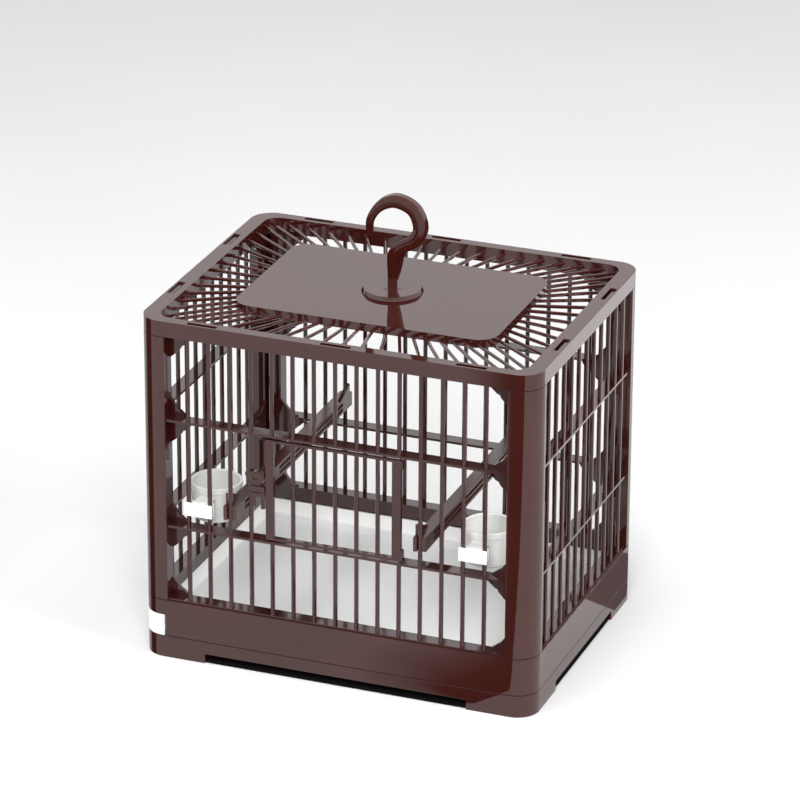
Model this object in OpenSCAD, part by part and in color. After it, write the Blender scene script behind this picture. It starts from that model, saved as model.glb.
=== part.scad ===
// Small-bird travel cage: four barred panels and four corner posts between a
// deep base with a slide-out tray and a barred roof that carries a swivel hook.
// Millimetres. Origin: middle of the footprint, on the table. +X right,
// -Y is the front with the door, +Z up.

/* [Body] */
// Overall width, left to right
body_w = 320; // [300:1:340]
// Overall depth, front to back
body_d = 243; // [230:1:256]
// Height of the roof's top face above the table
body_h = 280; // [270:1:300]
// Radius of the four upright outer corners
corner_r = 18; // [14:1:20]
// Distance that the bars and rails are set back from the outline
recess = 1.6; // [1.5:0.1:2.5]

/* [Base] */
// Height of the lower seam, between pan and base frame
pan_h = 18.1; // [16:0.1:22]
// Height of the upper seam, between base frame and panels
base_h = 48.3; // [44:0.1:54]
// Height of the feet below the skirt
foot_h = 7.8; // [5:0.1:9]
// Length of each foot along the front and back
foot_front = 53; // [35:1:70]
// Length of each foot along the sides
foot_side = 55.5; // [35:0.5:70]
// Wall thickness of pan, frame and tray
wall = 2.6; // [2:0.1:3]

/* [Tray] */
// Height of the tray's white front
tray_front_h = 17.5; // [14:0.1:17.6]
// How far the tray's front wraps round onto the front and back faces
tray_wrap = 20; // [19:0.1:24]

/* [Bars] */
// Distance between bar centres
pitch = 17.1; // [16:0.1:17.2]
// Thickness of a bar
bar = 3.2; // [2.8:0.1:3.6]
// Underside height of the lower rail
rail_lo = 109.7; // [100:0.1:115]
// Underside height of the upper rail
rail_hi = 197.7; // [190:0.1:205]
// Thickness of the rails
rail_t = 2; // [1.6:0.1:2.6]
// Depth of the rails, front to back
rail_dep = 11.4; // [10:0.1:12]

/* [Roof] */
// Height of the roof's side band
band_h = 12.5; // [11:0.1:16]
// Width of the roof ring's top face at left and right
ring_x = 12.5; // [12:0.1:14]
// Width of the roof ring's top face at front and back
ring_y = 9; // [8.6:0.1:10]
// Width of the plate in the middle of the roof
plate_w = 211; // [180:1:215]
// Depth of the plate in the middle of the roof
plate_d = 138; // [120:1:142]
// Corner radius of the plate
plate_r = 16; // [10:1:20]

/* [Hook] */
// Outer radius of the hook's eye
eye_ro = 25; // [24:0.1:26]
// Inner radius of the hook's eye
eye_ri = 16.3; // [15:0.1:17]
// Front to back thickness of the hook
hook_t = 8; // [7:0.1:9]
// Radius of the swivel shaft
shaft_r = 3.85; // [3.6:0.05:4]
// Radius of the disc at the foot of the hook
disc_r = 23.7; // [20:0.1:28]

/* [Cups and perches] */
// Outer radius of a cup's rim
cup_r = 20.2; // [18:0.1:20.3]
// Height of a cup
cup_h = 30; // [24:0.5:32]
// Width of a perch
perch_w = 9.6; // [9:0.1:9.8]
// Height of a perch
perch_h = 11.6; // [10:0.1:13]

/* [Hidden] */

brown = [0.30, 0.19, 0.17];
white = [0.93, 0.93, 0.92];

hx = body_w / 2;               // half width
hy = body_d / 2;               // half depth
band_z = body_h - band_h;      // underside of the roof band
top_t = 2.5;                   // thickness of the roof's top faces
open_x = hx - 22.5;            // half width of the front and back openings
open_y = hy - 21.5;            // half width of the side openings
face_y = hy - recess;          // outer face of the front and back bars
face_x = hx - recess;          // outer face of the side bars
post_leg = 12.5;               // depth of a corner post's legs
nf = 7;                        // bars each side of the middle, front and back
ns = 5;                        // bars each side of the middle, left and right
slot_w = 24;                   // roof tab slots
slot_t = 4;
slot_ts = 5.5;                 // the same slots at left and right
seam_h = 0.5;                  // shadow gaps between the shells
seam_d = 0.7;
gus_y = 8.4;                   // brackets sit behind the bars
lip = 1.7;                     // panel's foot strip above the base frame

door_l = -56.1;                // door outline
door_r = 53.2;
door_b = 113.2;
door_t = 196;
stile = 6.4;
pin_x = 52.6;                  // door hinge axis
pin_y = -(face_y - bar / 2);
pin_r = 0.95;

latch_x = -64;                 // latch pivot
latch_z = 163.4;
latch_r = 1.5;

cup_x = 6.5 * pitch;           // cups hang between bars 6 and 7
cup_y = -85;
cup_z = 110;
perch_zb = 124.4;              // underside of the perches

// rectangle with true round corners
module rrect(w, d, r) {
    square([w - 2 * r, d], center = true);
    square([w, d - 2 * r], center = true);
    for (sx = [-1, 1], sy = [-1, 1])
        translate([sx * (w / 2 - r), sy * (d / 2 - r)]) circle(r, $fn = 96);
}

// closed ring between the outline and the same outline moved in by t
module outline_ring(t) {
    difference() {
        rrect(body_w, body_d, corner_r);
        rrect(body_w - 2 * t, body_d - 2 * t, corner_r - t);
    }
}

// shadow gap round the whole outline, at height z
module seam(z) {
    translate([0, 0, z]) linear_extrude(seam_h) difference() {
        square([body_w + 20, body_d + 20], center = true);
        rrect(body_w - 2 * seam_d, body_d - 2 * seam_d, corner_r - seam_d);
    }
}

// one upright bar with softened edges, outer face on y = 0, body towards +y
module bar_prism(h, w = bar, c = 0.92) {
    linear_extrude(h)
        polygon([[-w / 2 + c, 0], [w / 2 - c, 0], [w / 2, c], [w / 2, w - c],
                 [w / 2 - c, w], [-w / 2 + c, w], [-w / 2, w - c], [-w / 2, c]]);
}

// ---------------------------------------------------------------- panels
// thin brackets in a section's corner, at the back of the rails: (0, 0) is
// the corner, they grow to +x and +z; the hanging one is the larger
module gusset(dep, hanging) {
    rotate([90, 0, 0]) translate([0, 0, -dep]) linear_extrude(dep - gus_y)
        if (hanging)
            polygon([[0, 0], [20.4, 0], [19.8, 1.9], [17.2, 4.5], [14.8, 6.4],
                     [12.4, 8.8], [9.7, 10.1], [9, 12.2], [6.5, 14.6],
                     [4.6, 16.9], [1.9, 19.2], [0, 19.8]]);
        else
            polygon([[0, 0], [14.6, 0], [13.4, 1.2], [11.6, 2.2], [9.3, 4.3],
                     [7.2, 5.6], [5.8, 7.1], [4.3, 9.3], [2.2, 11.6],
                     [1.2, 13.4], [0, 14.6]]);
}

// the four brackets of a section of half width hw, between heights z0 and z1
module section_gussets(hw, z0, z1, dep) {
    for (s = [0, 1]) mirror([s, 0, 0]) {
        translate([-hw, 0, z0]) gusset(dep, false);
        translate([-hw, 0, z1]) mirror([0, 0, 1]) gusset(dep, true);
    }
}

// a barred panel seen from outside, outer face on y = 0, body towards +y;
// kmid is the first bar that runs on through the middle section
module grille(hw, n, kmid, tabs, tab_len, tab_d, skirt_d) {
    // foot strip and the two shelf rails
    translate([-hw, 0, base_h]) cube([2 * hw, skirt_d, lip]);
    for (z = [rail_lo, rail_hi])
        translate([-hw, 0, z]) cube([2 * hw, rail_dep, rail_t]);
    // bars
    for (k = [-n : n]) translate([k * pitch, 0, 0]) {
        if (abs(k) >= kmid)
            translate([0, 0, base_h + lip - 0.5])
                bar_prism(band_z - base_h - lip + 1);
        else {
            translate([0, 0, base_h + lip - 0.5])
                bar_prism(rail_lo - base_h - lip + 1);
            translate([0, 0, rail_hi + rail_t - 0.5])
                bar_prism(band_z - rail_hi - rail_t + 1);
        }
    }
    // brackets of the three sections
    section_gussets(hw, base_h + lip, rail_lo, rail_dep);
    section_gussets(hw, rail_lo + rail_t, rail_hi, rail_dep);
    section_gussets(hw, rail_hi + rail_t, band_z, rail_dep);
    // head strip and tongues, inside the roof's hollow band
    translate([-hw + 1, 0.1, band_z]) cube([2 * hw - 2, tab_d, 4]);
    for (x = tabs) translate([x - tab_len / 2, 0.2, band_z + 3.5])
        cube([tab_len, 3.2, band_h - 3.5 - 1.5]);
    // ties that carry the topmost brackets, under the roof's inner wall
    for (s = [0, 1]) mirror([s, 0, 0]) {
        translate([-hw + 1, 2, band_z - 1.7]) cube([18.4, rail_dep - 2, 1.5]);
        translate([-hw + 1, 2, band_z - 1]) cube([18.4, 2.5, 2]);
    }
    // pegs into the base frame
    for (x = [-hw * 0.6, hw * 0.6]) translate([x - 5, 3, base_h - 6])
        cube([10, 3, 6.5]);
}

module front_panel() color(brown) difference() {
    union() {
        translate([0, -face_y, 0])
            grille(open_x, nf, 4, [-107.5, 0, 107.5], slot_w - 0.8, 4.6, rail_dep);
        // latch bracket between the bar and the door
        translate([-70, -face_y, latch_z - 15.4]) cube([12.8, 3.2, 2.6]);
        translate([-70, -face_y, latch_z - 9.8]) cube([12.8, 3.2, 2.4]);
        translate([-66.6, -face_y + 0.8, latch_z - 24.3]) cube([2.6, 3, 16]);
        translate([-60.2, -face_y + 0.4, latch_z - 25.6]) cube([3, 3.4, 17]);
        translate([latch_x - 4, -face_y + 1, latch_z - 12.8]) cube([7.4, 2.6, 12]);
        translate([latch_x, -face_y + 0.6, latch_z]) rotate([-90, 0, 0])
            cylinder(r = 4, h = 6, $fn = 64);
    }
    // hole for the latch pin
    translate([latch_x, -face_y - 1, latch_z]) rotate([-90, 0, 0])
        cylinder(r = latch_r, h = 20, $fn = 48);
    // holes for the hinge pins
    translate([pin_x, pin_y, rail_hi - 1]) cylinder(r = pin_r, h = 4, $fn = 32);
    translate([pin_x, pin_y, rail_lo - 1]) cylinder(r = pin_r, h = 4, $fn = 32);
}

module back_panel() color(brown)
    rotate([0, 0, 180]) translate([0, -face_y, 0])
        grille(open_x, nf, 0, [-107.5, 0, 107.5], slot_w - 0.8, 4.6, rail_dep);

module left_panel() color(brown)
    rotate([0, 0, -90]) translate([0, -face_x, 0])
        grille(open_y, ns, 0, [-54.5, 54.5], slot_w - 0.8, 7.6, rail_dep);

module right_panel() color(brown)
    rotate([0, 0, 90]) translate([0, -face_x, 0])
        grille(open_y, ns, 0, [-54.5, 54.5], slot_w - 0.8, 7.6, rail_dep);

// ---------------------------------------------------------------- posts
// L-section of the front right corner, moved in by t on every side
module post_section(t) {
    difference() {
        intersection() {
            rrect(body_w - 2 * t, body_d - 2 * t, corner_r - t);
            translate([open_x + t, -hy - 1])
                square([hx, hy - open_y + 1 - t]);
        }
        translate([open_x - 10, -(hy - post_leg + t)])
            square([hx - post_leg - open_x + 10 - t, 100]);
    }
}

module corner_post() color(brown) {
    // hollow upright, closed at both ends
    difference() {
        translate([0, 0, base_h]) linear_extrude(band_z - base_h) post_section(0);
        translate([0, 0, base_h + 2]) linear_extrude(band_z - base_h - 4) post_section(2.2);
        // shadow gaps at foot and head
        seam(base_h - 0.01);
        seam(band_z - seam_h + 0.01);
    }
    // locating pegs into base and roof
    translate([hx - 9, -hy + 9, base_h - 5]) cylinder(r = 3, h = 5.5, $fn = 48);
    translate([hx - 9, -hy + 9, band_z - 0.5]) cylinder(r = 3, h = 5.5, $fn = 48);
}

module corner_post_front_right() corner_post();
module corner_post_front_left() mirror([1, 0, 0]) corner_post();
module corner_post_back_right() mirror([0, 1, 0]) corner_post();
module corner_post_back_left() rotate([0, 0, 180]) corner_post();

// ---------------------------------------------------------------- roof
// the fan of rods between the ring and the middle plate
module roof_bars() {
    ix = hx - ring_x; iy = hy - ring_y;
    px = plate_w / 2; py = plate_d / 2;
    module spoke(a, b) {
        ang = atan2(b[1] - a[1], b[0] - a[0]);
        translate([a[0], a[1], body_h - 6.3]) rotate([0, 0, ang])
            translate([-6, 0, 0]) rotate([90, 0, 90])
                linear_extrude(norm(b - a) + 12)
                    polygon([[-0.5, 0.2], [0.5, 0.2], [1.25, 0.95], [1.25, 2.05],
                             [0.5, 2.8], [-0.5, 2.8], [-1.25, 2.05], [-1.25, 0.95]]);
    }
    for (s = [-1, 1]) {
        for (k = [-9 : 9]) spoke([k * 10.7, s * py], [k * 16.4, s * iy]);
        for (k = [-6 : 6]) spoke([s * px, k * 10.6], [s * ix, k * 17]);
    }
}

module roof_frame() color(brown) difference() {
    union() {
        // hollow band: outer wall, top face and inner wall
        difference() {
            translate([0, 0, band_z]) linear_extrude(band_h) difference() {
                rrect(body_w, body_d, corner_r);
                rrect(body_w - 2 * ring_x, body_d - 2 * ring_y, 12);
            }
            translate([0, 0, band_z - 1]) linear_extrude(band_h - top_t + 1) difference() {
                rrect(body_w - 3, body_d - 3, corner_r - 1.5);
                rrect(body_w - 2 * ring_x + 4, body_d - 2 * ring_y + 4, 14);
            }
        }
        // middle plate and its skirt
        translate([0, 0, body_h - top_t]) linear_extrude(top_t)
            rrect(plate_w, plate_d, plate_r);
        translate([0, 0, body_h - 6.5]) linear_extrude(4.5) difference() {
            rrect(plate_w, plate_d, plate_r);
            rrect(plate_w - 4.4, plate_d - 4.4, plate_r - 2.2);
        }
        // fan of rods
        intersection() {
            roof_bars();
            translate([0, 0, body_h - 8]) linear_extrude(6) difference() {
                rrect(body_w - 2 * ring_x + 2, body_d - 2 * ring_y + 2, 13);
                rrect(plate_w - 2, plate_d - 2, plate_r - 1);
            }
        }
        // boss under the plate for the hook's shaft, with four ribs
        translate([0, 0, body_h - 8]) cylinder(r = 11, h = 6.5, $fn = 96);
        translate([-34, -1, body_h - 6]) cube([68, 2, 4.5]);
        translate([-1, -34, body_h - 6]) cube([2, 68, 4.5]);
    }
    // swivel bore
    translate([0, 0, body_h - 20]) cylinder(r = shaft_r + 0.06, h = 30, $fn = 96);
    // slots for the panels' tongues
    for (s = [-1, 1]) {
        for (x = [-107.5, 0, 107.5])
            translate([x - slot_w / 2, s * (face_y - 1.9) - slot_t / 2, body_h - 6])
                cube([slot_w, slot_t, 10]);
        for (y = [-54.5, 54.5])
            translate([s * (hx - 1.5 - slot_ts / 2) - slot_ts / 2, y - slot_w / 2, body_h - 6])
                cube([slot_ts, slot_w, 10]);
    }
}

// ---------------------------------------------------------------- hook
module hook_flange() color(brown) difference() {
    union() {
        translate([0, 0, body_h + 0.15]) cylinder(r = disc_r, h = 0.35, $fn = 128);
        translate([0, 0, body_h + 0.5]) cylinder(r1 = disc_r, r2 = disc_r - 1.5, h = 2.85, $fn = 128);
        translate([0, 0, body_h + 3.3]) cylinder(r = 7.5, h = 0.35, $fn = 96);
    }
    translate([0, 0, body_h - 1]) cylinder(r = shaft_r, h = 8, $fn = 96);
}

// plan of the question-mark shaped hook in the x-z plane
module hook_plan() {
    // eye: two circles set off from each other, so that it thins to its tip
    difference() {
        translate([3.5, body_h + 54.5]) circle(eye_ro, $fn = 160);
        translate([0.8, body_h + 51.6]) circle(eye_ri, $fn = 160);
        // mouth of the hook
        polygon([[-30, body_h + 41.5], [-14, body_h + 40.2], [0.8, body_h + 51.6],
                 [13.6, body_h + 42], [16, body_h + 34], [0, body_h + 10],
                 [-30, body_h + 10]]);
    }
    // neck that swings back over the shaft
    polygon([[-3.6, body_h + 16], [-3.6, body_h + 27], [-3, body_h + 31],
             [-1.4, body_h + 34.6], [1.4, body_h + 38], [5, body_h + 41],
             [9.4, body_h + 44], [13, body_h + 46.8], [16, body_h + 51],
             [21, body_h + 53], [27.4, body_h + 50], [26.2, body_h + 46.4],
             [24.4, body_h + 43], [22, body_h + 39.8], [19.6, body_h + 37],
             [16.4, body_h + 35], [13, body_h + 33.6], [10.4, body_h + 31.8],
             [8.6, body_h + 29.4], [7.6, body_h + 26], [5.4, body_h + 18.4],
             [3.6, body_h + 12]]);
}

module carry_hook() color(brown) {
    difference() {
        translate([0, hook_t / 2, 0]) rotate([90, 0, 0])
            linear_extrude(hook_t) hook_plan();
        // shallow groove along both faces of the eye
        for (s = [-1, 1])
            translate([0, s * hook_t / 2, 0]) rotate([90, 0, 0])
                linear_extrude(1.2, center = true) difference() {
                    translate([2, body_h + 53]) circle(21.2, $fn = 160);
                    translate([2, body_h + 53]) circle(20, $fn = 160);
                    translate([-30, body_h + 20]) square([60, 27]);
                }
    }
    // round shaft down through disc, roof plate and retainer
    translate([0, 0, body_h - 12.5]) cylinder(r = shaft_r, h = 34, $fn = 96);
}

module hook_retainer() color(brown) difference() {
    union() {
        translate([0, 0, body_h - 11.15]) cylinder(r = 9, h = 3, $fn = 96);
        translate([0, 0, body_h - 13]) cylinder(r1 = 5.6, r2 = 6.4, h = 2, $fn = 64);
    }
    translate([0, 0, body_h - 12.5]) cylinder(r = shaft_r, h = 10, $fn = 96);
}

// ---------------------------------------------------------------- door
module door() color(brown) difference() {
    union() {
        translate([door_l, -face_y, door_b]) cube([stile, bar, door_t - door_b]);
        translate([door_r - 7.2, -face_y, door_b]) cube([7.2, bar, door_t - door_b]);
        translate([door_l + 1, -face_y, door_t - 2]) cube([door_r - door_l - 2, bar, 2]);
        translate([door_l + 1, -face_y, door_b]) cube([door_r - door_l - 2, bar, 2]);
        for (k = [-2 : 2]) translate([k * pitch, -face_y, door_b + 1])
            bar_prism(door_t - door_b - 2);
        // knuckles round the hinge pins
        for (z = [[113.5, 9.1], [189, 6.6]])
            translate([door_r - 0.5, -face_y - 0.1, z[0]]) cube([2, bar + 0.4, z[1]]);
    }
    translate([pin_x, pin_y, 100]) cylinder(r = pin_r + 0.05, h = 22.3, $fn = 32);
    translate([pin_x, pin_y, 189.3]) cylinder(r = pin_r + 0.05, h = 20, $fn = 32);
}

module door_hinge_pins() color(brown) {
    // upper pin hangs from the upper rail, lower pin stands on the lower one
    translate([pin_x, pin_y, 190]) cylinder(r = pin_r, h = rail_hi + rail_t - 190, $fn = 32);
    translate([pin_x, pin_y, rail_lo]) cylinder(r = pin_r, h = 121.6 - rail_lo, $fn = 32);
    // collar that carries the door's weight
    translate([pin_x, pin_y, rail_lo + rail_t]) cylinder(r = 1.55, h = door_b - 0.1 - rail_lo - rail_t, $fn = 32);
}

// turned half round, the plate's longer end lies over the door's stile
module door_latch() color(brown) difference() {
    union() {
        translate([0, -face_y - 0.15, 0]) rotate([90, 0, 0]) linear_extrude(1.35)
            translate([0, latch_z - 164.8])
            polygon([[-72.3, 167.6], [-71.9, 169], [-70.6, 170.2], [-68.8, 170.6],
                     [-66.6, 170.1], [-65, 169.6], [-63, 169.9], [-60.4, 170.3],
                     [-58.6, 169.6], [-57.2, 167.8], [-56.6, 165.6], [-56.8, 163.6],
                     [-57.6, 161.9], [-59, 160.9], [-60.6, 160.5], [-67.8, 160],
                     [-69.8, 162.4], [-71.6, 165.2]]);
        translate([latch_x, -face_y - 0.3, latch_z]) rotate([-90, 0, 0])
            cylinder(r = 2.6, h = 0.75, $fn = 48);
    }
    translate([latch_x, -face_y - 3, latch_z]) rotate([-90, 0, 0])
        cylinder(r = latch_r + 0.05, h = 6, $fn = 48);
}

module latch_pin() color(brown)
    translate([latch_x, -face_y - 0.8, latch_z]) rotate([-90, 0, 0])
        cylinder(r = latch_r, h = 7.4, $fn = 48);

// ---------------------------------------------------------------- base
module base_frame() color(brown) difference() {
    union() {
        // outer wall
        translate([0, 0, pan_h]) linear_extrude(base_h - pan_h) outline_ring(wall);
        // top ledge that the panels stand on
        translate([0, 0, base_h - 3]) linear_extrude(3) difference() {
            rrect(body_w - 2, body_d - 2, corner_r - 1);
            rrect(299, 226, 7);
        }
        // inner apron down to just above the tray
        translate([0, 0, 36.4]) linear_extrude(base_h - 36.4) difference() {
            rrect(303, 230, 9);
            rrect(299, 226, 7);
        }
    }
    // shadow gap above the pan
    seam(pan_h - 0.01);
    // opening for the tray's front
    translate([-hx - 1, -hy - 1, pan_h - 1])
        cube([tray_wrap + 1.8, body_d + 2, tray_front_h + 1.4]);
    // sockets for the panels' pegs and the posts' pegs
    for (s = [-1, 1]) {
        for (x = [-open_x * 0.6, open_x * 0.6])
            translate([x - 5.2, s * (face_y - 4.5) - 1.7, base_h - 8]) cube([10.4, 3.4, 12]);
        for (y = [-open_y * 0.6, open_y * 0.6])
            translate([s * (face_x - 4.5) - 1.7, y - 5.2, base_h - 8]) cube([3.4, 10.4, 12]);
        for (t = [-1, 1]) translate([s * (hx - 9), t * (hy - 9), base_h - 8])
            cylinder(r = 3.1, h = 12, $fn = 48);
    }
}

module base_pan() color(brown) {
    difference() {
        linear_extrude(pan_h) outline_ring(wall);
        // cut-outs between the feet
        translate([-hx + foot_front, -hy - 5, -1])
            cube([body_w - 2 * foot_front, body_d + 10, foot_h + 1]);
        translate([-hx - 5, -hy + foot_side, -1])
            cube([body_w + 10, body_d - 2 * foot_side, foot_h + 1]);
    }
    // deck under the tray
    translate([0, 0, pan_h - 2]) linear_extrude(2)
        rrect(body_w - 2 * wall + 1, body_d - 2 * wall + 1, corner_r - wall + 0.5);
    // soles and inner walls of the four feet
    difference() {
        intersection() {
            linear_extrude(pan_h - 2) rrect(body_w - wall, body_d - wall, corner_r - wall / 2);
            for (sx = [-1, 1], sy = [-1, 1])
                translate([sx < 0 ? -hx : hx - foot_front, sy < 0 ? -hy : hy - foot_side, -1])
                    cube([foot_front, foot_side, pan_h]);
        }
        for (sx = [-1, 1], sy = [-1, 1])
            translate([sx < 0 ? -hx + 4.6 : hx - foot_front + 2,
                       sy < 0 ? -hy + 4.6 : hy - foot_side + 2, 2])
                cube([foot_front - 6.6, foot_side - 6.6, pan_h]);
    }
    // stiffening ribs under the deck
    for (x = [-60, 0, 60]) translate([x - 1, -hy + 1, foot_h + 0.4])
        cube([2, body_d - 2, pan_h - foot_h - 2]);
}

module drawer_tray() color(white) {
    z0 = pan_h + 0.25;
    zf = pan_h + tray_front_h;
    tx0 = -151.6; tx1 = 152; ty = 115.4;
    difference() {
        union() {
            // front that follows the cage's outline round both corners
            translate([0, 0, z0]) linear_extrude(zf - z0) intersection() {
                outline_ring(wall);
                translate([-hx - 1, -hy - 1]) square([tray_wrap + 0.4, body_d + 2]);
            }
            // top of the front, back to the tray's wall
            translate([0, 0, zf - 1.8]) linear_extrude(1.8) intersection() {
                rrect(body_w - 2, body_d - 2, corner_r - 1);
                translate([-hx - 1, -hy - 1]) square([hx - 149.8 + 1, body_d + 2]);
            }
            // tray body
            translate([(tx0 + tx1) / 2, 0, z0]) linear_extrude(34.6 - z0)
                rrect(tx1 - tx0, 2 * ty, 3);
        }
        // inside of the tray
        translate([tx0 + 1.8, -ty + 1.8, z0 + 1.4]) cube([tx1 - tx0 - 3.6, 2 * ty - 3.6, 30]);
    }
    // sloped foot of the inner walls
    for (s = [-1, 1])
        translate([tx0 + 1, s * (ty - 1.7), z0 + 1.2]) rotate([90, 0, 90])
            linear_extrude(tx1 - tx0 - 2)
                polygon([[0, 0], [-s * 9, 0], [-s * 9, 0.3], [-s * 3, 3], [0, 9]]);
    for (e = [[tx0 + 1.7, 1], [tx1 - 1.7, -1]])
        translate([e[0], ty - 1, z0 + 1.2]) rotate([90, 0, 0])
            linear_extrude(2 * ty - 2)
                polygon([[0, 0], [e[1] * 9, 0], [e[1] * 9, 0.3], [e[1] * 3, 3], [0, 9]]);
}

// ---------------------------------------------------------------- cups
module cup(x) color(white) translate([x, 0, 0]) {
    translate([0, cup_y, 0]) rotate_extrude($fn = 128)
        polygon([[0, cup_z], [cup_r - 4.6, cup_z], [cup_r - 2.6, cup_z + 1],
                 [cup_r - 1.5, cup_z + 3], [cup_r - 0.7, cup_z + cup_h - 5.2],
                 [cup_r, cup_z + cup_h - 4.8], [cup_r, cup_z + cup_h - 0.5],
                 [cup_r - 0.5, cup_z + cup_h], [cup_r - 1.7, cup_z + cup_h],
                 [cup_r - 2.2, cup_z + cup_h - 0.6], [cup_r - 3.1, cup_z + 4],
                 [cup_r - 5, cup_z + 1.6], [0, cup_z + 1.6]]);
    // neck between the bars, with a shoulder behind them and a plate in front
    difference() {
        union() {
            translate([-6.6, -face_y - 0.3, 124.4]) cube([13.2, face_y + cup_y - 15.7, 8]);
            translate([-11, -face_y + bar + 0.3, 123.2]) cube([22, 2.2, 10.5]);
            translate([-11, -face_y - 1.5, 123.2]) cube([22, 1.25, 10.5]);
        }
        translate([0, cup_y, cup_z - 1]) cylinder(r = cup_r - 2.4, h = cup_h + 4, $fn = 96);
    }
}
module cup_left() cup(-cup_x);
module cup_right() cup(cup_x);

// ---------------------------------------------------------------- perches
// fork that clips round a bar, at the -y end of a perch
module perch_end() {
    difference() {
        translate([-perch_w / 2, -face_y - 1.45, perch_zb]) cube([perch_w, 20, perch_h]);
        // slot for the bar
        translate([-bar / 2 - 0.15, -face_y - 3, perch_zb - 1])
            cube([bar + 0.3, 3 + bar + 0.3, perch_h + 2]);
        // the right-hand prong stops at the bar's front face
        translate([bar / 2, -face_y - 3, perch_zb - 1])
            cube([perch_w, 3 + 0.5, perch_h + 2]);
    }
    // raised wedge on top, just behind the bar
    translate([-perch_w / 2 + 3.4, -face_y + bar + 0.3, perch_zb + perch_h - 0.5])
        rotate([90, 0, -90]) linear_extrude(3.4)
            polygon([[0, 0], [-20, 0], [-19, 1], [-1.5, 9], [0, 9.4]]);
}

module perch(x) color(brown) translate([x, 0, 0]) {
    difference() {
        translate([-perch_w / 2, -104, perch_zb]) cube([perch_w, 208, perch_h]);
        // two long grooves in each side, crossed by webs
        for (s = [-1, 1], z = [2.2, 6.6], c = [-73, 0, 73])
            translate([s * perch_w / 2 - 1.6, c - 32, perch_zb + z]) cube([3.2, 64, 2.8]);
    }
    perch_end();
    rotate([0, 0, 180]) perch_end();
}
module perch_left() perch(-5 * pitch);
module perch_right() perch(4 * pitch);

roof_frame();
hook_flange();
carry_hook();
hook_retainer();
corner_post_front_left();
corner_post_front_right();
corner_post_back_left();
corner_post_back_right();
front_panel();
back_panel();
left_panel();
right_panel();
door();
door_latch();
latch_pin();
door_hinge_pins();
base_frame();
base_pan();
drawer_tray();
cup_left();
cup_right();
perch_left();
perch_right();
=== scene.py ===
import math

import bmesh
import bpy
from mathutils import Matrix, Vector


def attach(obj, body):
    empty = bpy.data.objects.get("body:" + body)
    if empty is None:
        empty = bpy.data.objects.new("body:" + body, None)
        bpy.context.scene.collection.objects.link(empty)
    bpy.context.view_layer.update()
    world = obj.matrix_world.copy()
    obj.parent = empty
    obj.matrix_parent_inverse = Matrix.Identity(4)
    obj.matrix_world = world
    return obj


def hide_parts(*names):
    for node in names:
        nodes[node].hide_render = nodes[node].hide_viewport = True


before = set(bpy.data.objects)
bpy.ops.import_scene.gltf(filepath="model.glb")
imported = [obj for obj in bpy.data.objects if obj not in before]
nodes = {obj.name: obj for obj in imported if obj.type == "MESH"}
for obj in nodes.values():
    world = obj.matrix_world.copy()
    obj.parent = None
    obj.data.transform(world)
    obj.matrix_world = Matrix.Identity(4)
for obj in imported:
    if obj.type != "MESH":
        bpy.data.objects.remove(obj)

MM = 0.001
scene = bpy.context.scene
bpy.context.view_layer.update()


# ------------------------------------------------------------------ camera
# Placed from the cage's own corners: azimuth 20.852, elevation 23.179, roll 0.279 degrees.
AZ, EL, ROLL = (math.radians(v) for v in (20.852, 23.179, 0.279))
TARGET = Vector((0.084595, -0.20485, 0.284287))
DIST = 3.4373
FOCAL_PX = 4778.75
back = Vector((math.sin(AZ) * math.cos(EL), -math.cos(AZ) * math.cos(EL), math.sin(EL)))
right = Vector((math.cos(AZ), math.sin(AZ), 0.0))
up = back.cross(right)
right2 = math.cos(ROLL) * right + math.sin(ROLL) * up
up2 = -math.sin(ROLL) * right + math.cos(ROLL) * up
cam_data = bpy.data.cameras.new("camera")
cam_data.sensor_fit = "HORIZONTAL"
cam_data.sensor_width = 36.0
cam_data.lens = FOCAL_PX / 800.0 * 36.0
cam_data.clip_start = 0.05
cam_data.clip_end = 60.0
cam = bpy.data.objects.new("camera", cam_data)
cam.matrix_world = Matrix((
    (right2.x, up2.x, back.x, TARGET.x + DIST * back.x),
    (right2.y, up2.y, back.y, TARGET.y + DIST * back.y),
    (right2.z, up2.z, back.z, TARGET.z + DIST * back.z),
    (0, 0, 0, 1)))
scene.collection.objects.link(cam)
scene.camera = cam


# --------------------------------------------------------------- materials
def new_material(name):
    mat = bpy.data.materials.new(name)
    mat.use_nodes = True
    nt = mat.node_tree
    nt.nodes.clear()
    out = nt.nodes.new("ShaderNodeOutputMaterial")
    bsdf = nt.nodes.new("ShaderNodeBsdfPrincipled")
    nt.links.new(bsdf.outputs["BSDF"], out.inputs["Surface"])
    coord = nt.nodes.new("ShaderNodeTexCoord")
    return mat, nt, bsdf, coord


def noise(nt, coord, scale, detail=2.0, rough=0.5, stretch=None):
    src = coord.outputs["Object"]
    if stretch:
        mp = nt.nodes.new("ShaderNodeMapping")
        mp.inputs["Scale"].default_value = stretch
        nt.links.new(src, mp.inputs["Vector"])
        src = mp.outputs["Vector"]
    n = nt.nodes.new("ShaderNodeTexNoise")
    n.inputs["Scale"].default_value = scale
    n.inputs["Detail"].default_value = detail
    n.inputs["Roughness"].default_value = rough
    nt.links.new(src, n.inputs["Vector"])
    return n.outputs["Fac"]


def ramp(nt, fac, stops):
    r = nt.nodes.new("ShaderNodeValToRGB")
    el = r.color_ramp.elements
    while len(el) < len(stops):
        el.new(0.5)
    for e, (pos, col) in zip(el, stops):
        e.position = pos
        e.color = (*col, 1.0) if len(col) == 3 else col
    nt.links.new(fac, r.inputs["Fac"])
    return r.outputs["Color"]


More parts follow.
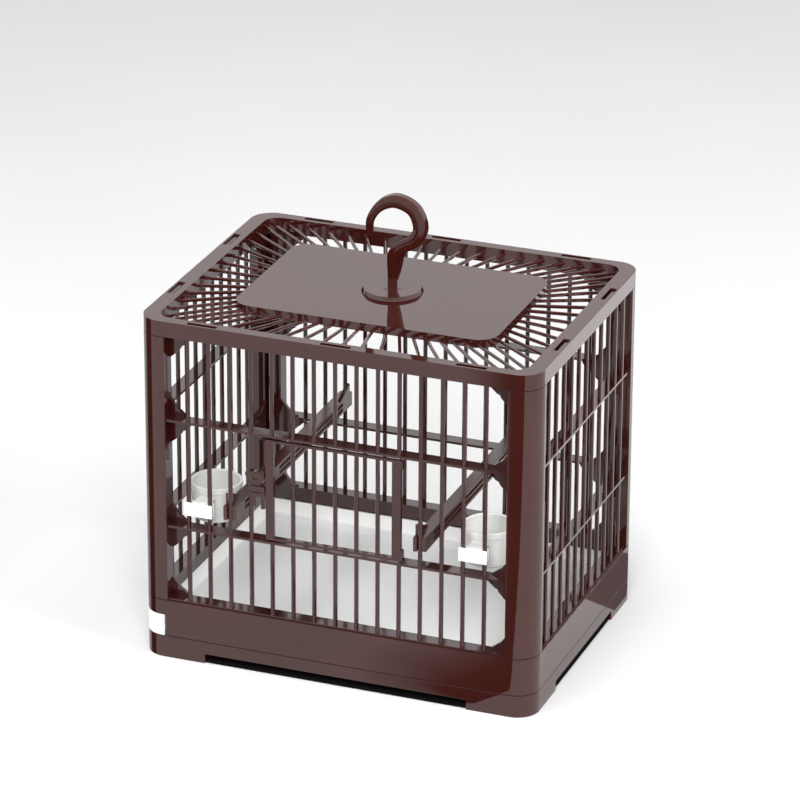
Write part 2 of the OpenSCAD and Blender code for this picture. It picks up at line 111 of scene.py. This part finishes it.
def remap(nt, fac, lo, hi, fmin=0.3, fmax=0.7):
    m = nt.nodes.new("ShaderNodeMapRange")
    m.inputs["From Min"].default_value = fmin
    m.inputs["From Max"].default_value = fmax
    m.inputs["To Min"].default_value = lo
    m.inputs["To Max"].default_value = hi
    nt.links.new(fac, m.inputs["Value"])
    return m.outputs["Result"]


def bump(nt, height, strength, distance, under=None):
    b = nt.nodes.new("ShaderNodeBump")
    b.inputs["Strength"].default_value = strength
    b.inputs["Distance"].default_value = distance
    nt.links.new(height, b.inputs["Height"])
    if under:
        nt.links.new(under, b.inputs["Normal"])
    return b.outputs["Normal"]


def brown_plastic(name, dark, light, gloss, ior=1.72, wave=0.04):
    """Injection-moulded polypropylene, polished: faint flow variation in the
    colour, a slow sink wave in the surface and fine handling marks."""
    mat, nt, bsdf, coord = new_material(name)
    flow = noise(nt, coord, 14.0, 3.0, 0.55)
    nt.links.new(ramp(nt, flow, [(0.30, dark), (0.72, light)]), bsdf.inputs["Base Color"])
    smear = noise(nt, coord, 46.0, 4.0, 0.6, (1.0, 1.0, 0.45))
    nt.links.new(remap(nt, smear, gloss[0], gloss[1], 0.35, 0.72), bsdf.inputs["Roughness"])
    sink = noise(nt, coord, 22.0, 1.0, 0.4)
    fine = noise(nt, coord, 1500.0, 2.0, 0.5)
    n1 = bump(nt, sink, wave, 0.001)
    nt.links.new(bump(nt, fine, 0.02, 0.0002, n1), bsdf.inputs["Normal"])
    bsdf.inputs["IOR"].default_value = ior
    return mat


def painted_light_mask(nt, coord, limits):
    """1 inside every (axis, from, to) limit of the piece's own coordinates."""
    sep = nt.nodes.new("ShaderNodeSeparateXYZ")
    nt.links.new(coord.outputs["Object"], sep.inputs["Vector"])
    out = None
    for axis, lo, hi in limits:
        m = nt.nodes.new("ShaderNodeMapRange")
        m.interpolation_type = "SMOOTHSTEP"
        m.inputs["From Min"].default_value = lo
        m.inputs["From Max"].default_value = hi
        nt.links.new(sep.outputs[axis], m.inputs["Value"])
        if out is None:
            out = m.outputs["Result"]
        else:
            k = nt.nodes.new("ShaderNodeMath")
            k.operation = "MULTIPLY"
            nt.links.new(out, k.inputs[0])
            nt.links.new(m.outputs["Result"], k.inputs[1])
            out = k.outputs[0]
    return out


def white_plastic(name, dark, light, gloss, sss=0.0, ior=1.5, grain=2200.0,
                  grain_strength=0.06, wave=0.03, painted_light_zone=None):
    mat, nt, bsdf, coord = new_material(name)
    flow = noise(nt, coord, 18.0, 3.0, 0.55)
    tone = ramp(nt, flow, [(0.30, dark), (0.70, light)])
    # painted light and shade: inside the mask the tone is swapped for a lighter or darker one that stands in for how
    # the light falls
    if painted_light_zone:
        limits, zone_dark, zone_light = painted_light_zone
        mix = nt.nodes.new("ShaderNodeMix")
        mix.data_type = "RGBA"
        nt.links.new(painted_light_mask(nt, coord, limits), mix.inputs[0])
        nt.links.new(tone, mix.inputs[6])
        nt.links.new(ramp(nt, flow, [(0.30, zone_dark), (0.70, zone_light)]), mix.inputs[7])
        tone = mix.outputs[2]
    nt.links.new(tone, bsdf.inputs["Base Color"])
    smear = noise(nt, coord, 60.0, 4.0, 0.6)
    nt.links.new(remap(nt, smear, gloss[0], gloss[1], 0.35, 0.7), bsdf.inputs["Roughness"])
    sink = noise(nt, coord, 30.0, 1.0, 0.4)
    fine = noise(nt, coord, grain, 2.0, 0.5)
    n1 = bump(nt, sink, wave, 0.001)
    nt.links.new(bump(nt, fine, grain_strength, 0.0002, n1), bsdf.inputs["Normal"])
    bsdf.inputs["IOR"].default_value = ior
    if sss:
        bsdf.inputs["Subsurface Weight"].default_value = sss
        bsdf.inputs["Subsurface Radius"].default_value = (1.0, 1.0, 0.95)
        bsdf.inputs["Subsurface Scale"].default_value = 0.0015
    return mat


M_SHELL = brown_plastic("brown_shell", (0.028, 0.0046, 0.0031), (0.036, 0.0060, 0.0042), (0.035, 0.07))
M_BARS = brown_plastic("brown_bars", (0.024, 0.0041, 0.0030), (0.032, 0.0054, 0.0039), (0.06, 0.11), wave=0.02)
M_HOOK = brown_plastic("brown_hook", (0.033, 0.0052, 0.0033), (0.042, 0.0067, 0.0041), (0.05, 0.10), ior=1.58, wave=0.02)
M_PERCH = brown_plastic("brown_perch", (0.036, 0.0070, 0.0050), (0.047, 0.0094, 0.0066), (0.16, 0.26), wave=0.02)
# painted shade: the tray's floor is painted a little greyer than its walls and its front, which catch more of the
# light
M_TRAY = white_plastic("white_tray", (0.90, 0.90, 0.89), (0.93, 0.93, 0.92), (0.34, 0.42), grain_strength=0.03, wave=0.012,
                       painted_light_zone=([("Z", 0.0245, 0.0222), ("X", -0.151, -0.148)], (0.685, 0.688, 0.69), (0.715, 0.716, 0.718)))
# painted shade: the thin, milky cup walls are painted darker than the thick clips, standing in for the grey shade in
# and on the cups
M_CUP = white_plastic("white_cup", (0.64, 0.64, 0.625), (0.68, 0.68, 0.665), (0.20, 0.32), sss=0.2,
                      painted_light_zone=([("Y", -0.1188, -0.1194)], (0.90, 0.90, 0.89), (0.93, 0.93, 0.92)))


# ------------------------------------------------------------ CAD finishing
def finish_node(name, mat, width=0.3, segments=2, angle=32.0):
    """Soft moulded edges and a material on a CAD node, by modifiers only."""
    ob = nodes[name]
    for s in ob.material_slots:
        s.material = mat
    ob.data.shade_smooth()
    w = ob.modifiers.new("weld", "WELD")
    w.merge_threshold = 0.000004
    d = ob.modifiers.new("flat", "DECIMATE")
    d.decimate_type = "DISSOLVE"
    d.angle_limit = math.radians(0.4)
    if width > 0:
        b = ob.modifiers.new("edges", "BEVEL")
        b.width = width * MM
        b.segments = segments
        b.limit_method = "ANGLE"
        b.angle_limit = math.radians(angle)
        b.use_clamp_overlap = True
        b.harden_normals = False
        b.miter_outer = "MITER_SHARP"
    n = ob.modifiers.new("normals", "WEIGHTED_NORMAL")
    n.mode = "FACE_AREA"
    n.weight = 50
    n.keep_sharp = False
    return ob


for n in ("roof_frame", "base_frame", "base_pan"):
    finish_node(n, M_SHELL, 0.45)
for n in ("corner_post_front_left", "corner_post_front_right",
          "corner_post_back_left", "corner_post_back_right"):
    finish_node(n, M_SHELL, 0.35)
for n in ("front_panel", "back_panel", "left_panel", "right_panel", "door"):
    finish_node(n, M_BARS, 0.26, 3)
for n in ("door_latch", "latch_pin", "door_hinge_pins", "hook_retainer"):
    finish_node(n, M_BARS, 0.2, 2)
for n in ("perch_left", "perch_right"):
    finish_node(n, M_PERCH, 0.35, 2)
for n in ("drawer_tray",):
    finish_node(n, M_TRAY, 0.4, 3)
for n in ("cup_left", "cup_right"):
    finish_node(n, M_CUP, 0.4, 3)
finish_node("carry_hook", M_HOOK, 0.5, 3)
finish_node("hook_flange", M_SHELL, 0.25, 2)


# -------------------------------------------------------------------- hook
def spline(pts, per_mm=0.8):
    """Smooth curve through points of any dimension, spaced by chord length."""
    out = []
    n = len(pts)
    for i in range(n - 1):
        p0 = pts[i - 1] if i else tuple(2 * a - b for a, b in zip(pts[0], pts[1]))
        p1, p2 = pts[i], pts[i + 1]
        p3 = pts[i + 2] if i + 2 < n else tuple(2 * a - b for a, b in zip(pts[-1], pts[-2]))
        t = [0.0]
        for a, b in ((p0, p1), (p1, p2), (p2, p3)):
            t.append(t[-1] + max(math.hypot(b[0] - a[0], b[1] - a[1]), 1e-3) ** 0.5)
        seg = math.hypot(p2[0] - p1[0], p2[1] - p1[1])
        steps = max(2, int(seg / per_mm))
        for k in range(steps + (1 if i == n - 2 else 0)):
            u = t[1] + (t[2] - t[1]) * k / steps

            def mix(a, b, ta, tb):
                f = (u - ta) / (tb - ta)
                return tuple(x + (y - x) * f for x, y in zip(a, b))
            a1, a2, a3 = mix(p0, p1, t[0], t[1]), mix(p1, p2, t[1], t[2]), mix(p2, p3, t[2], t[3])
            b1, b2 = mix(a1, a2, t[0], t[2]), mix(a2, a3, t[1], t[3])
            out.append(mix(b1, b2, t[1], t[2]))
    return out


def hook_section(w, t, e, g):
    """Closed outline across the hook: a flat-sided oval with a groove along
    both faces, nearer the inner edge. Same number of points every time."""
    g0, gw = -0.2 * w, min(0.8, 0.28 * w)
    xr, xl = g0 + 1.35 * gw, 1.35 * gw - g0

    def y_at(x):
        return t * max(0.0, 1.0 - (abs(x) / w) ** e) ** (1.0 / e)
    arc = [max(0.0, math.cos(math.pi * 0.05 * k)) ** (2.0 / e) for k in range(11)]
    top = [(xr + (w - xr) * c, y_at(xr + (w - xr) * c)) for c in arc]
    for f, d in ((1.0, 0.0), (0.72, 0.9), (0.3, 1.0), (-0.3, 1.0), (-0.72, 0.9), (-1.0, 0.0)):
        x = g0 + gw * f
        top.append((x, y_at(x) - g * d))
    fall = 0.10 * min(1.0, g / 0.6)
    for c in reversed(arc):
        x = xl + (w - xl) * c
        top.append((-x, max(0.0, y_at(x) - min(fall * (x - xl), 0.45 * t))))
    return top + [(x, -y) for x, y in reversed(top)][1:-1]


def build_hook():
    cx, cz = 3.5, 334.5
    pts = [(0.0, 267.6, 3.78, 3.78, 2.0, 0.0), (0.0, 284.0, 3.78, 3.78, 2.0, 0.0),
           (0.0, 297.0, 3.78, 3.85, 2.2, 0.0), (0.1, 305.0, 3.95, 4.0, 3.6, 0.0),
           (1.2, 310.5, 4.3, 4.0, 6.5, 0.0), (4.4, 315.0, 4.7, 4.0, 9.0, 0.2),
           (9.6, 318.6, 5.0, 4.0, 9.0, 0.9), (15.0, 321.6, 5.2, 4.0, 9.0, 1.3)]
    for ang, r, w, t in ((-29, 18.35, 5.2, 4.0), (0, 19.2, 5.3, 4.0), (45, 19.5, 5.2, 4.0), (90, 19.35, 5.2, 4.0),
                         (120, 18.95, 4.5, 3.8), (150, 19.4, 3.5, 3.4), (178, 21.7, 2.8, 2.9),
                         (199, 23.5, 2.4, 2.6)):
        v = math.radians(ang)
        pts.append((cx + r * math.cos(v), cz + r * math.sin(v), w, t, 9.0 if ang < 160 else 6.0, 1.4 if ang < 140 else 0.9 if ang < 170 else 0.4))
    line = spline(pts)
    # rounded tip
    (x0, z0, *_), (x1, z1, w1, t1, e1, g1) = line[-2], line[-1]
    dl = math.hypot(x1 - x0, z1 - z0)
    dx, dz = (x1 - x0) / dl, (z1 - z0) / dl
    for k in range(1, 7):
        a = math.pi * 0.5 * k / 6.2
        line.append((x1 + dx * 2.2 * math.sin(a), z1 + dz * 2.2 * math.sin(a),
                     w1 * math.cos(a), t1 * math.cos(a), e1 - (e1 - 2.2) * k / 6, g1 * max(0, 1 - k / 3)))
    bm = bmesh.new()
    rings = []
    for i, (x, z, w, t, e, g) in enumerate(line):
        a, b = line[max(0, i - 1)], line[min(len(line) - 1, i + 1)]
        d = math.hypot(b[0] - a[0], b[1] - a[1])
        tx, tz = (b[0] - a[0]) / d, (b[1] - a[1]) / d
        nx, nz = tz, -tx
        rings.append([bm.verts.new(((x + nx * u) * MM, v * MM, (z + nz * u) * MM))
                      for u, v in hook_section(max(w, 0.15), max(t, 0.15), e, g)])
    n = len(rings[0])
    for r0, r1 in zip(rings, rings[1:]):
        for k in range(n):
            bm.faces.new((r0[k], r0[(k + 1) % n], r1[(k + 1) % n], r1[k]))
    bm.faces.new(list(reversed(rings[0])))
    bm.faces.new(rings[-1])
    # thin web between shaft and neck
    web = [(2.2, 285.5), (4.6, 290.5), (7.0, 300.0), (8.7, 308.6), (10.4, 313.2), (6.0, 315.0), (1.0, 311.0)]
    lo = [bm.verts.new((x * MM, -2.4 * MM, z * MM)) for x, z in web]
    hi = [bm.verts.new((x * MM, 2.4 * MM, z * MM)) for x, z in web]
    bm.faces.new(lo)
    bm.faces.new(list(reversed(hi)))
    for k in range(len(web)):
        m = (k + 1) % len(web)
        bm.faces.new((lo[k], hi[k], hi[m], lo[m]))
    bmesh.ops.recalc_face_normals(bm, faces=bm.faces)
    me = bpy.data.meshes.new("hook_swept")
    bm.to_mesh(me)
    bm.free()
    me.materials.append(M_HOOK)
    me.shade_smooth()
    ob = bpy.data.objects.new("hook_swept", me)
    scene.collection.objects.link(ob)
    b = ob.modifiers.new("edges", "BEVEL")
    b.width = 0.35 * MM
    b.segments = 2
    b.limit_method = "ANGLE"
    b.angle_limit = math.radians(50)
    w = ob.modifiers.new("normals", "WEIGHTED_NORMAL")
    w.keep_sharp = False
    return ob


hook = build_hook()
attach(hook, "hook")
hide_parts("carry_hook")


# ------------------------------------------------------------------- stage
def stage_plane(name, sx, sy, z, mat):
    me = bpy.data.meshes.new(name)
    me.from_pydata([(-sx, -sy, z), (sx, -sy, z), (sx, sy, z), (-sx, sy, z)], [], [(0, 1, 2, 3)])
    me.materials.append(mat)
    ob = bpy.data.objects.new(name, me)
    scene.collection.objects.link(ob)
    return ob


floor_mat, nt, bsdf, coord = new_material("pale_floor")
nt.links.new(ramp(nt, noise(nt, coord, 3.0, 3.0, 0.5), [(0.3, (0.635, 0.635, 0.636)), (0.7, (0.658, 0.658, 0.659))]),
             bsdf.inputs["Base Color"])
nt.links.new(remap(nt, noise(nt, coord, 30.0, 3.0, 0.5), 0.62, 0.75), bsdf.inputs["Roughness"])
nt.links.new(bump(nt, noise(nt, coord, 400.0, 3.0, 0.5), 0.05, 0.0005), bsdf.inputs["Normal"])
bsdf.inputs["Specular IOR Level"].default_value = 0.1
floor = stage_plane("floor", 8.0, 8.0, 0.0, floor_mat)
floor.visible_glossy = False

# deep shade on the floor under the base
shade_mat, nt, bsdf, coord = new_material("floor_shade")
nt.links.new(ramp(nt, noise(nt, coord, 40.0, 2.0, 0.5), [(0.3, (0.010, 0.009, 0.009)), (0.7, (0.014, 0.012, 0.012))]),
             bsdf.inputs["Base Color"])
nt.links.new(remap(nt, noise(nt, coord, 60.0, 2.0, 0.5), 0.8, 0.9), bsdf.inputs["Roughness"])
bsdf.inputs["Specular IOR Level"].default_value = 0.05
shade_me = bpy.data.meshes.new("floor_shade")
shade_pts = []
for sx, sy, a0 in ((1, 1, 0), (-1, 1, 90), (-1, -1, 180), (1, -1, 270)):
    for k in range(9):
        a = math.radians(a0 + 90 * k / 8)
        shade_pts.append(((sx * 142.0 + 16.4 * math.cos(a)) * MM, (sy * 103.5 + 16.4 * math.sin(a)) * MM, 0.0004))
shade_me.from_pydata(shade_pts, [], [tuple(range(len(shade_pts)))])
shade_me.materials.append(shade_mat)
shade = bpy.data.objects.new("floor_shade", shade_me)
scene.collection.objects.link(shade)

world = bpy.data.worlds.new("studio")
scene.world = world
world.use_nodes = True
wt = world.node_tree
wt.nodes.clear()
w_out = wt.nodes.new("ShaderNodeOutputWorld")
w_bg = wt.nodes.new("ShaderNodeBackground")
w_co = wt.nodes.new("ShaderNodeTexCoord")
w_sep = wt.nodes.new("ShaderNodeSeparateXYZ")
w_ramp = wt.nodes.new("ShaderNodeValToRGB")
wt.links.new(w_co.outputs["Generated"], w_sep.inputs["Vector"])
wt.links.new(w_sep.outputs["Z"], w_ramp.inputs["Fac"])


def wmath(op, a, b=None, c=None):
    m = wt.nodes.new("ShaderNodeMath")
    m.operation = op
    for i, v in enumerate((a, b, c)):
        if v is None:
            continue
        if isinstance(v, (int, float)):
            m.inputs[i].default_value = v
        else:
            wt.links.new(v, m.inputs[i])
    return m.outputs[0]


def wstep(v, lo, hi, a=0.0, b=1.0):
    m = wt.nodes.new("ShaderNodeMapRange")
    m.interpolation_type = "SMOOTHSTEP"
    m.inputs["From Min"].default_value = lo
    m.inputs["From Max"].default_value = hi
    m.inputs["To Min"].default_value = a
    m.inputs["To Max"].default_value = b
    wt.links.new(v, m.inputs["Value"])
    return m.outputs["Result"]


# a dark stretch of the surroundings to the left, seen only in reflections
w_az = wmath("ARCTAN2", wmath("MULTIPLY", w_sep.outputs["X"], -1.0),
             wmath("MULTIPLY", w_sep.outputs["Y"], -1.0))
w_dark = wmath("MULTIPLY", wmath("MULTIPLY", wstep(w_az, 1.04, 1.16), wstep(w_az, 1.68, 1.84, 1.0, 0.0)),
               wstep(w_sep.outputs["Z"], 0.05, 0.25, 0.96, 0.0))
w_level = wmath("MULTIPLY", wmath("SUBTRACT", 1.0, w_dark), w_ramp.outputs["Color"])
wt.links.new(w_level, w_bg.inputs["Color"])
wt.links.new(w_bg.outputs["Background"], w_out.inputs["Surface"])
stops = [(0.0, 0.74), (0.05, 0.9), (0.30, 1.0), (0.48, 1.0), (0.62, 0.32), (1.0, 0.28)]
el = w_ramp.color_ramp.elements
while len(el) < len(stops):
    el.new(0.5)
for e, (p, v) in zip(el, stops):
    e.position = p
    e.color = (v, v, v, 1)
w_bg.inputs["Strength"].default_value = 1.10
# soft even light for everything that is not a mirror reflection
w_soft = wt.nodes.new("ShaderNodeBackground")
w_soft.inputs["Color"].default_value = (1.0, 1.0, 1.0, 1.0)
w_soft.inputs["Strength"].default_value = 0.48
w_path = wt.nodes.new("ShaderNodeLightPath")
w_mix = wt.nodes.new("ShaderNodeMixShader")
wt.links.new(w_path.outputs["Is Glossy Ray"], w_mix.inputs["Fac"])
wt.links.new(w_soft.outputs["Background"], w_mix.inputs[1])
wt.links.new(w_bg.outputs["Background"], w_mix.inputs[2])
wt.links.new(w_mix.outputs["Shader"], w_out.inputs["Surface"])


def area(name, loc, look, size, power, color=(1, 1, 1), glossy=False):
    la = bpy.data.lights.new(name, "AREA")
    la.shape = "RECTANGLE"
    la.size, la.size_y = size
    la.energy = power
    la.color = color
    ob = bpy.data.objects.new(name, la)
    ob.location = loc
    ob.rotation_euler = (Vector(look) - Vector(loc)).to_track_quat("-Z", "Y").to_euler()
    ob.visible_glossy = glossy
    ob.visible_camera = False
    scene.collection.objects.link(ob)
    return ob


area("key", (0.7, -2.3, 1.9), (0, 0, 0.1), (1.4, 1.4), 80.0)
area("top", (-0.6, -0.7, 2.9), (0, 0, 0.1), (1.7, 1.7), 58.0)
area("side", (2.5, -0.3, 1.7), (0, 0, 0.1), (1.4, 1.2), 74.0)


# Surroundings that only mirror reflections see, standing on the floor: dark
# ones at the front right corner and at the right behind, a bright one at the
# right and behind. Each vertex is (x, y in mm, strength, cover).
def card(name, rows, z):
    mat = bpy.data.materials.new(name)
    mat.use_nodes = True
    ct = mat.node_tree
    ct.nodes.clear()
    co = ct.nodes.new("ShaderNodeOutputMaterial")
    mx = ct.nodes.new("ShaderNodeMixShader")
    tr = ct.nodes.new("ShaderNodeBsdfTransparent")
    em = ct.nodes.new("ShaderNodeEmission")
    at = ct.nodes.new("ShaderNodeAttribute")
    at.attribute_name = "cover"
    st = ct.nodes.new("ShaderNodeAttribute")
    st.attribute_name = "glow"
    ct.links.new(at.outputs["Fac"], mx.inputs["Fac"])
    ct.links.new(st.outputs["Fac"], em.inputs["Strength"])
    ct.links.new(tr.outputs["BSDF"], mx.inputs[1])
    ct.links.new(em.outputs["Emission"], mx.inputs[2])
    ct.links.new(mx.outputs["Shader"], co.inputs["Surface"])
    vs, cover, glow, fs = [], [], [], []
    cols = len(rows[0])
    for row in rows:
        for x, y, g, c in row:
            vs.append((x * MM, y * MM, z * MM))
            glow.append(g)
            cover.append(c)
    for i in range(len(rows) - 1):
        for k in range(cols - 1):
            a = i * cols + k
            fs.append((a, a + 1, a + 1 + cols, a + cols))
    me = bpy.data.meshes.new(name)
    me.from_pydata(vs, [], fs)
    for an, vals in (("cover", cover), ("glow", glow)):
        at = me.attributes.new(an, "FLOAT", "POINT")
        at.data.foreach_set("value", vals)
    me.materials.append(mat)
    ob = bpy.data.objects.new(name, me)
    scene.collection.objects.link(ob)
    ob.visible_camera = False
    ob.visible_diffuse = False
    ob.visible_shadow = False
    ob.visible_transmission = False
    return ob


# painted reflections: these sheets glow only for mirror reflections, painting dark and bright patches into the glossy
# plastic
D = 0.03
corner_rows = [((110.6, -131.7), (103.2, -128.8), (85, -127), (30, -127)),
               ((120, -148.9), (76.3, -145.4), (53.4, -144.6), (5, -144)),
               ((127, -160.5), (83, -160), (50, -165), (0, -170)),
               ((129.5, -174), (89, -172.3), (45, -180), (-5, -190)),
               ((133.5, -205), (103, -200), (62, -207), (10, -215)),
               ((137.5, -237), (95, -234), (76, -230), (35, -225)),
               ((180, -323), (69.1, -312), (56, -306), (30, -298)),
               ((250, -400), (45, -381), (34, -375), (12, -366)),
               ((451, -620), (-40, -625), (-52, -619), (-75, -608)),
               ((640, -826), (-115, -830), (-128, -824), (-150, -812))]
card("dark_front_right", [[(*p, D, c) for p, c in zip(r, (1.0, 0.95, 0.5, 0.0))] for r in corner_rows], 1.0)


card("bright_right", [[(163, -96, 0.72, 1.0), (163, 300, 0.9, 1.0), (163, 1600, 1.2, 1.0)],
                      [(236, 106, 1.45, 1.0), (330, 500, 1.6, 1.0), (500, 1600, 1.8, 1.0)],
                      [(438, 650, 1.45, 1.0), (600, 1100, 1.6, 1.0), (800, 1700, 1.8, 1.0)]], 1.0)
card("dark_right_back", [[(162.0, 80.5, 0.2, 1.0), (162.0, 186.0, 0.2, 1.0)],
                         [(190.8, 92.2, 0.2, 1.0), (190.8, 186.0, 0.2, 1.0)]], 1.6)


def one_sided_card(name, corners, colour, strength):
    """A quad that mirror reflections see from its front side only."""
    mat = bpy.data.materials.new(name)
    mat.use_nodes = True
    ct = mat.node_tree
    ct.nodes.clear()
    co = ct.nodes.new("ShaderNodeOutputMaterial")
    mx = ct.nodes.new("ShaderNodeMixShader")
    tr = ct.nodes.new("ShaderNodeBsdfTransparent")
    em = ct.nodes.new("ShaderNodeEmission")
    ge = ct.nodes.new("ShaderNodeNewGeometry")
    em.inputs["Color"].default_value = (*colour, 1.0)
    em.inputs["Strength"].default_value = strength
    ct.links.new(ge.outputs["Backfacing"], mx.inputs["Fac"])
    ct.links.new(em.outputs["Emission"], mx.inputs[1])
    ct.links.new(tr.outputs["BSDF"], mx.inputs[2])
    ct.links.new(mx.outputs["Shader"], co.inputs["Surface"])
    me = bpy.data.meshes.new(name)
    me.from_pydata(corners, [], [(0, 1, 2, 3)])
    me.materials.append(mat)
    ob = bpy.data.objects.new(name, me)
    scene.collection.objects.link(ob)
    ob.visible_camera = False
    ob.visible_diffuse = False
    ob.visible_shadow = False
    ob.visible_transmission = False
    return ob


# painted reflection: a faint reddish glowing sheet just above the roof, seen only by mirror reflections from above,
# so the hook mirrors dark here, not the bright room
one_sided_card("roof_shade", [(-0.300, -0.117, 0.2805), (0.450, -0.117, 0.2805),
                              (0.450, 0.550, 0.2805), (-0.300, 0.550, 0.2805)], (1.0, 0.6, 0.5), 0.035)

scene.view_settings.view_transform = "Standard"
scene.view_settings.look = "None"
scene.cycles.use_denoising = True
scene.cycles.max_bounces = 10
scene.cycles.diffuse_bounces = 5
scene.cycles.glossy_bounces = 6
scene.cycles.caustics_reflective = False
scene.cycles.caustics_refractive = False
